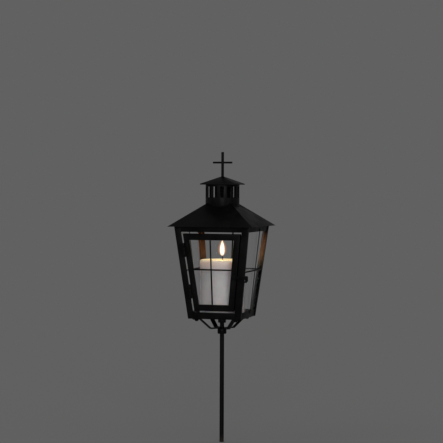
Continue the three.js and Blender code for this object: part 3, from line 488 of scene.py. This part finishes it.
def place_piece(mesh, name, body, material, nodes):
    """A finished bmesh as an object that rides on a body and stands for CAD nodes."""
    data = bpy.data.meshes.new(name)
    mesh.to_mesh(data)
    mesh.free()
    data.shade_smooth()
    data.set_sharp_from_angle(angle=SMOOTH_ANGLE)
    data.materials.append(material)
    piece = bpy.data.objects.new(name, data)
    bpy.context.scene.collection.objects.link(piece)
    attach(piece, body)
    if nodes:
        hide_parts(*nodes)
    return piece


def eased_copy(node, width, material):
    """A copy of a CAD node with whole flat faces and eased edges, which carry an attribute for wear."""
    source = frame["nodes"][node]
    mesh = bmesh.new()
    mesh.from_mesh(source.data)
    bmesh.ops.remove_doubles(mesh, verts=mesh.verts, dist=MERGE)
    bmesh.ops.dissolve_limit(
        mesh, angle_limit=FLAT_ANGLE, use_dissolve_boundaries=False, verts=mesh.verts, edges=mesh.edges)
    edge_mark = mesh.loops.layers.float.new("eased_edge")
    sharp = [e for e in mesh.edges if e.is_manifold and e.calc_face_angle() > EASED_ANGLE]
    eased = bmesh.ops.bevel(
        mesh, geom=sharp, offset=width, affect="EDGES", segments=2, profile=0.5, material=-1,
        clamp_overlap=True)
    for face in eased["faces"]:
        for corner in face.loops:
            corner[edge_mark] = 1.0
    return place_piece(mesh, f"{node}_eased", source["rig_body"], material, [node])


def spun(profile, steps):
    """A solid of revolution round the stake's axis from (radius, height) points in metres."""
    mesh = bmesh.new()
    points = [mesh.verts.new((radius, 0, height)) for radius, height in profile]
    edges = [mesh.edges.new(pair) for pair in zip(points, points[1:])]
    bmesh.ops.spin(
        mesh, geom=points + edges, cent=(0, 0, 0), axis=(0, 0, 1), dvec=(0, 0, 0), angle=2 * math.pi,
        steps=steps, use_merge=True)
    bmesh.ops.remove_doubles(mesh, verts=mesh.verts, dist=MERGE)
    bmesh.ops.recalc_face_normals(mesh, faces=mesh.faces)
    return mesh


class LANTERN_OT_place_camera(bpy.types.Operator):
    """Stand the camera in front of the door, a little to its right"""
    bl_idname = "lantern.place_camera"
    bl_label = "Place camera"

    def execute(self, context):
        data = bpy.data.cameras.new("camera")
        data.lens = 120.68
        data.sensor_width = 36.0
        camera = bpy.data.objects.new("camera", data)
        context.scene.collection.objects.link(camera)
        stand = math.radians(17.1)  # how far the camera stands to the door's right
        heading = math.radians(17.135)
        pitch = math.radians(1.49)
        roll = math.radians(0.21)
        distance = 2731 * MM
        level = EAVE + 79.3 * MM
        eye = Vector((distance * math.sin(stand), -distance * math.cos(stand), level))
        turn = (Matrix.Rotation(heading, 4, "Z") @ Matrix.Rotation(math.pi / 2 - pitch, 4, "X")
                @ Matrix.Rotation(roll, 4, "Z"))
        camera.matrix_world = Matrix.Translation(eye) @ turn
        context.scene.camera = camera
        return {"FINISHED"}


class LANTERN_OT_set_stage(bpy.types.Operator):
    """Lay the floor and light it softly from a plain studio sky"""
    bl_idname = "lantern.set_stage"
    bl_label = "Set stage"

    def execute(self, context):
        colours = context.scene.lantern_colours
        mesh = bmesh.new()
        bmesh.ops.create_circle(mesh, cap_ends=True, cap_tris=False, segments=96, radius=60.0)
        data = bpy.data.meshes.new("studio_floor")
        mesh.to_mesh(data)
        mesh.free()
        data.materials.append(pale_studio_floor(colours))
        floor = bpy.data.objects.new("studio_floor", data)
        context.scene.collection.objects.link(floor)

        world = bpy.data.worlds.new("studio_sky")
        world.use_nodes = True
        tree = world.node_tree
        tree.nodes.clear()
        light = add(tree, "ShaderNodeBackground", {"Color": (1, 1, 1, 1), "Strength": SKY_LIGHT})
        backdrop = add(tree, "ShaderNodeBackground", {"Color": opaque(colours.backdrop), "Strength": 1.0})
        sky = add(tree, "ShaderNodeMixShader", {
            0: sight_rays(tree), 1: light.outputs["Background"], 2: backdrop.outputs["Background"]})
        add(tree, "ShaderNodeOutputWorld", {"Surface": sky.outputs["Shader"]})
        context.scene.world = world
        context.scene.view_settings.view_transform = "Standard"

        for name, strength, azimuth, elevation in LAMPS:
            lamp = bpy.data.lights.new(name, "SUN")
            lamp.energy = strength
            lamp.angle = LAMP_SPREAD
            holder = bpy.data.objects.new(name, lamp)
            holder.rotation_euler = (math.radians(90 - elevation), 0, math.radians(azimuth))
            context.scene.collection.objects.link(holder)
        return {"FINISHED"}


class LANTERN_OT_coat_sheet(bpy.types.Operator):
    """Ease the edges of the body's and door's folded sheet and powder-coat it"""
    bl_idname = "lantern.coat_sheet"
    bl_label = "Coat body and door"

    def execute(self, context):
        sizes = context.scene.lantern_sizes
        coat = black_powder_coat(context.scene.lantern_colours, sizes)
        for node in SHEET_PIECES + DOOR_PIECES + ROOF_PIECES:
            eased_copy(node, sizes.sheet_edge, coat)
        # the posts' coat carries the painted amber glow of the flame, also read as heat browning
        glow_painted = black_powder_coat(context.scene.lantern_colours, sizes, glow_painted=True)
        for node in POST_PIECES:
            eased_copy(node, sizes.sheet_edge, glow_painted)
        for node in HINGE_PIECES:
            eased_copy(node, sizes.small_edge, coat)
        return {"FINISHED"}


class LANTERN_OT_fold_stop(bpy.types.Operator):
    """Fold the thin stop strip on the latch-side post, behind the gap that the door's edge closes"""
    bl_idname = "lantern.fold_stop"
    bl_label = "Fold door stop"

    def execute(self, context):
        sizes = context.scene.lantern_sizes
        sheet, depth, reach = sizes.stop_sheet, sizes.stop_depth, sizes.stop_reach
        web = 8 * MM  # the strip's web from the body's side
        tab = web + 4 * MM  # the end of the flange on the post
        seat = 1.15 * MM  # that flange behind the body's front
        section = (  # (distance from the body's side, distance behind its front)
            (tab, seat), (web, seat), (web, depth + sheet), (reach, depth + sheet),
            (reach, depth), (web + sheet, depth), (web + sheet, seat + sheet), (tab, seat + sheet))
        post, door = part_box("post_front_right"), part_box("door_frame")
        taper = (post[1].x - BODY_FOOT_HALF) / (post[1].z - post[0].z)
        shorter = 2 * MM  # than the door, at each end
        foot, top = door[0].z + shorter, door[1].z - shorter
        half = BODY_FOOT_HALF + (foot - post[0].z) * taper
        mesh = bmesh.new()
        mesh.faces.new([mesh.verts.new((half - side, behind - half, foot)) for side, behind in section])
        raised = bmesh.ops.extrude_face_region(mesh, geom=mesh.faces[:])
        tip = [g for g in raised["geom"] if isinstance(g, bmesh.types.BMVert)]
        rise = top - foot
        bmesh.ops.translate(mesh, verts=tip, vec=(rise * taper, -rise * taper, rise))
        bmesh.ops.recalc_face_normals(mesh, faces=mesh.faces)
        bmesh.ops.bevel(
            mesh, geom=mesh.edges[:], offset=0.15 * MM, affect="EDGES", segments=2, profile=0.5, material=-1)
        coat = bpy.data.materials["black_powder_coated_sheet"]
        place_piece(mesh, "door_stop", "lantern", coat, [])
        return {"FINISHED"}


class LANTERN_OT_lacquer_bars(bpy.types.Operator):
    """Ease and lacquer the stake, hub, straps, rivets and cross"""
    bl_idname = "lantern.lacquer_bars"
    bl_label = "Lacquer stake, cradle and cross"

    def execute(self, context):
        sizes = context.scene.lantern_sizes
        lacquer = black_bar_lacquer(context.scene.lantern_colours, sizes)
        for node in IRON_PIECES:
            eased_copy(node, sizes.iron_edge, lacquer)
        return {"FINISHED"}


class LANTERN_OT_plate_nuts(bpy.types.Operator):
    """Ease and zinc-plate the nuts and the washer"""
    bl_idname = "lantern.plate_nuts"
    bl_label = "Plate nuts and washer"

    def execute(self, context):
        sizes = context.scene.lantern_sizes
        zinc = dull_zinc_plate(context.scene.lantern_colours, sizes)
        for node in ZINC_PIECES:
            eased_copy(node, sizes.small_edge, zinc)
        return {"FINISHED"}


class LANTERN_OT_glaze(bpy.types.Operator):
    """Give the four panes their clear glass"""
    bl_idname = "lantern.glaze"
    bl_label = "Glaze"

    def execute(self, context):
        glass = clear_window_glass(context.scene.lantern_colours, context.scene.lantern_sizes)
        for node in PANES:
            for holder in frame["nodes"][node].material_slots:
                holder.material = glass
        return {"FINISHED"}


class LANTERN_OT_pour_candle(bpy.types.Operator):
    """Cast the pillar candle with its melted rim and the pool under the flame"""
    bl_idname = "lantern.pour_candle"
    bl_label = "Pour candle"

    def execute(self, context):
        sizes = context.scene.lantern_sizes
        colours = context.scene.lantern_colours
        low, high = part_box("candle")
        radius = (high.x - low.x) / 2
        foot = low.z
        rim = high.z
        pool_edge = radius - 7 * MM
        foot_round = 1.5 * MM
        rim_round = 2.8 * MM
        pool_bottom = rim - 3.4 * MM
        pool_wall = 3 * MM  # how far the pool's bed rises to its edge
        melted = 9 * MM  # depth of the part that wanders
        wander_length = 19 * MM
        profile = [(0, foot), (radius - foot_round, foot), (radius - 0.4 * MM, foot + 0.4 * MM)]
        profile += [(radius, foot + foot_round)]
        profile += [(radius, foot + (rim - foot - 4 * MM) * n / 14) for n in range(1, 15)]
        for n in range(1, 7):
            turn = math.pi / 2 * n / 6
            profile.append(
                (radius - rim_round * (1 - math.cos(turn)), rim - rim_round * (1 - math.sin(turn))))
        profile += [(pool_edge + 2.2 * MM, rim - 0.1 * MM), (pool_edge, rim - 0.9 * MM)]
        for share in (0.96, 0.9, 0.8, 0.6, 0.4, 0.2):
            profile.append((pool_edge * share, pool_bottom + pool_wall * share ** 5))
        profile.append((0, pool_bottom))
        mesh = spun(profile, 96)
        for vert in mesh.verts:
            reach = max(0.0, 1 - (rim - vert.co.z) / melted)
            around = Vector((vert.co.x, vert.co.y, 0)) / wander_length
            wander = noise.noise(around) * sizes.rim_wave * reach
            vert.co.z += min(wander, 0.0) * (1 if vert.co.xy.length > pool_edge * 0.97 else 0)
            if vert.co.xy.length > pool_edge:
                vert.co.xy *= 1 - abs(wander) * 0.5 / radius
        wax = paraffin_wax(colours, sizes, rim)
        place_piece(mesh, "candle_body", "lantern", wax, ["candle"])

        level = rim - 1.7 * MM
        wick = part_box("wick")
        wick_radius = (wick[1].x - wick[0].x) / 2
        shore = pool_edge * 0.89
        pool = spun([
            (0, level - 0.9 * MM), (shore * 0.8, level - 0.6 * MM), (shore, level + 0.15 * MM),
            (shore * 0.97, level + 0.1 * MM), (shore * 0.93, level), (wick_radius + 2.4 * MM, level),
            (wick_radius + 0.9 * MM, level + 0.15 * MM), (wick_radius + 0.15 * MM, level + 0.7 * MM),
            (0, level + 0.8 * MM),
        ], 64)
        place_piece(pool, "molten_pool", "lantern", molten_wax(colours, sizes), [])
        return {"FINISHED"}


class LANTERN_OT_braid_wick(bpy.types.Operator):
    """Twist the wick's three strands and let its burnt end lean over"""
    bl_idname = "lantern.braid_wick"
    bl_label = "Braid wick"

    def execute(self, context):
        sizes = context.scene.lantern_sizes
        low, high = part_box("wick")
        radius = (high.x - low.x) / 2
        tall = high.z - low.z
        mesh = bmesh.new()
        made = bmesh.ops.create_circle(mesh, cap_ends=True, cap_tris=False, segments=18, radius=radius)
        for vert in made["verts"]:
            angle = math.atan2(vert.co.y, vert.co.x)
            vert.co *= 0.82 + 0.18 * abs(math.cos(1.5 * angle))
        bmesh.ops.translate(mesh, verts=mesh.verts, vec=(0, 0, low.z))
        top = mesh.faces[:]
        steps = 24
        turn = Matrix.Rotation(2 * math.pi * tall / steps / sizes.wick_twist, 3, "Z")
        for step in range(steps):
            lifted = bmesh.ops.extrude_face_region(mesh, geom=top)
            if step:
                bmesh.ops.delete(mesh, geom=top, context="FACES_ONLY")
            ring = [g for g in lifted["geom"] if isinstance(g, bmesh.types.BMVert)]
            top = [g for g in lifted["geom"] if isinstance(g, bmesh.types.BMFace)]
            share = (step + 1) / steps
            lean = sizes.wick_lean * (share ** 2 - (step / steps) ** 2)
            bmesh.ops.translate(mesh, verts=ring, vec=(lean, 0, tall / steps))
            middle = sum((v.co for v in ring), Vector()) / len(ring)
            bmesh.ops.rotate(mesh, verts=ring, cent=middle, matrix=turn)
            if share > 0.85:
                bmesh.ops.scale(
                    mesh, verts=ring, vec=(0.86, 0.86, 1), space=Matrix.Translation(-middle))
        bmesh.ops.recalc_face_normals(mesh, faces=mesh.faces)
        material = burnt_cotton(context.scene.lantern_colours, sizes, low.z, high.z)
        place_piece(mesh, "wick_braid", "lantern", material, ["wick"])
        return {"FINISHED"}


class LANTERN_OT_light_flame(bpy.types.Operator):
    """Shape the flame: a bright body inside thin layers that turn from cream to amber"""
    bl_idname = "lantern.light_flame"
    bl_label = "Light flame"

    def execute(self, context):
        colours = context.scene.lantern_colours
        low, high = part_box("flame")
        radius = (high.x - low.x) / 2
        tall = high.z - low.z

        def shell(swell, stretch):
            return spun([(radius * swell * r, low.z + tall * z * stretch) for r, z in FLAME_OUTLINE], 40)

        body = candle_flame(colours, low.z, high.z)
        place_piece(shell(0.8, 0.97), "flame_body", "lantern", body, ["flame"])
        for number, (swell, stretch, share) in enumerate(FLAME_LAYERS):
            material = flame_layer(colours, number, number / (len(FLAME_LAYERS) - 1), share)
            place_piece(
                shell(swell, stretch), f"flame_layer_{number}", "lantern", material, [])
        return {"FINISHED"}


OPERATORS = (
    LANTERN_OT_place_camera, LANTERN_OT_set_stage, LANTERN_OT_coat_sheet, LANTERN_OT_fold_stop,
    LANTERN_OT_lacquer_bars, LANTERN_OT_plate_nuts, LANTERN_OT_glaze, LANTERN_OT_pour_candle,
    LANTERN_OT_braid_wick, LANTERN_OT_light_flame,
)


class LANTERN_PT_panel(bpy.types.Panel):
    """Lists the lantern's steps, sizes and colours"""
    bl_idname = "LANTERN_PT_panel"
    bl_label = "Grave lantern"
    bl_space_type = "VIEW_3D"
    bl_region_type = "UI"
    bl_category = "Lantern"

    def draw(self, context):
        for operator in OPERATORS:
            self.layout.operator(operator.bl_idname)
        for group in (context.scene.lantern_sizes, context.scene.lantern_colours):
            box = self.layout.box()
            for name in group.__annotations__:
                box.prop(group, name)


CLASSES = (LanternSizes, LanternColours, *OPERATORS, LANTERN_PT_panel)


def register():
    for cls in CLASSES:
        bpy.utils.register_class(cls)
    bpy.types.Scene.lantern_sizes = bpy.props.PointerProperty(type=LanternSizes)
    bpy.types.Scene.lantern_colours = bpy.props.PointerProperty(type=LanternColours)


def unregister():
    del bpy.types.Scene.lantern_colours
    del bpy.types.Scene.lantern_sizes
    for cls in reversed(CLASSES):
        bpy.utils.unregister_class(cls)


def main():
    register()
    bpy.ops.lantern.place_camera()
    bpy.ops.lantern.set_stage()
    bpy.ops.lantern.coat_sheet()
    bpy.ops.lantern.fold_stop()
    bpy.ops.lantern.lacquer_bars()
    bpy.ops.lantern.plate_nuts()
    bpy.ops.lantern.glaze()
    bpy.ops.lantern.pour_candle()
    bpy.ops.lantern.braid_wick()
    bpy.ops.lantern.light_flame()


if __name__ == "__main__":
    main()
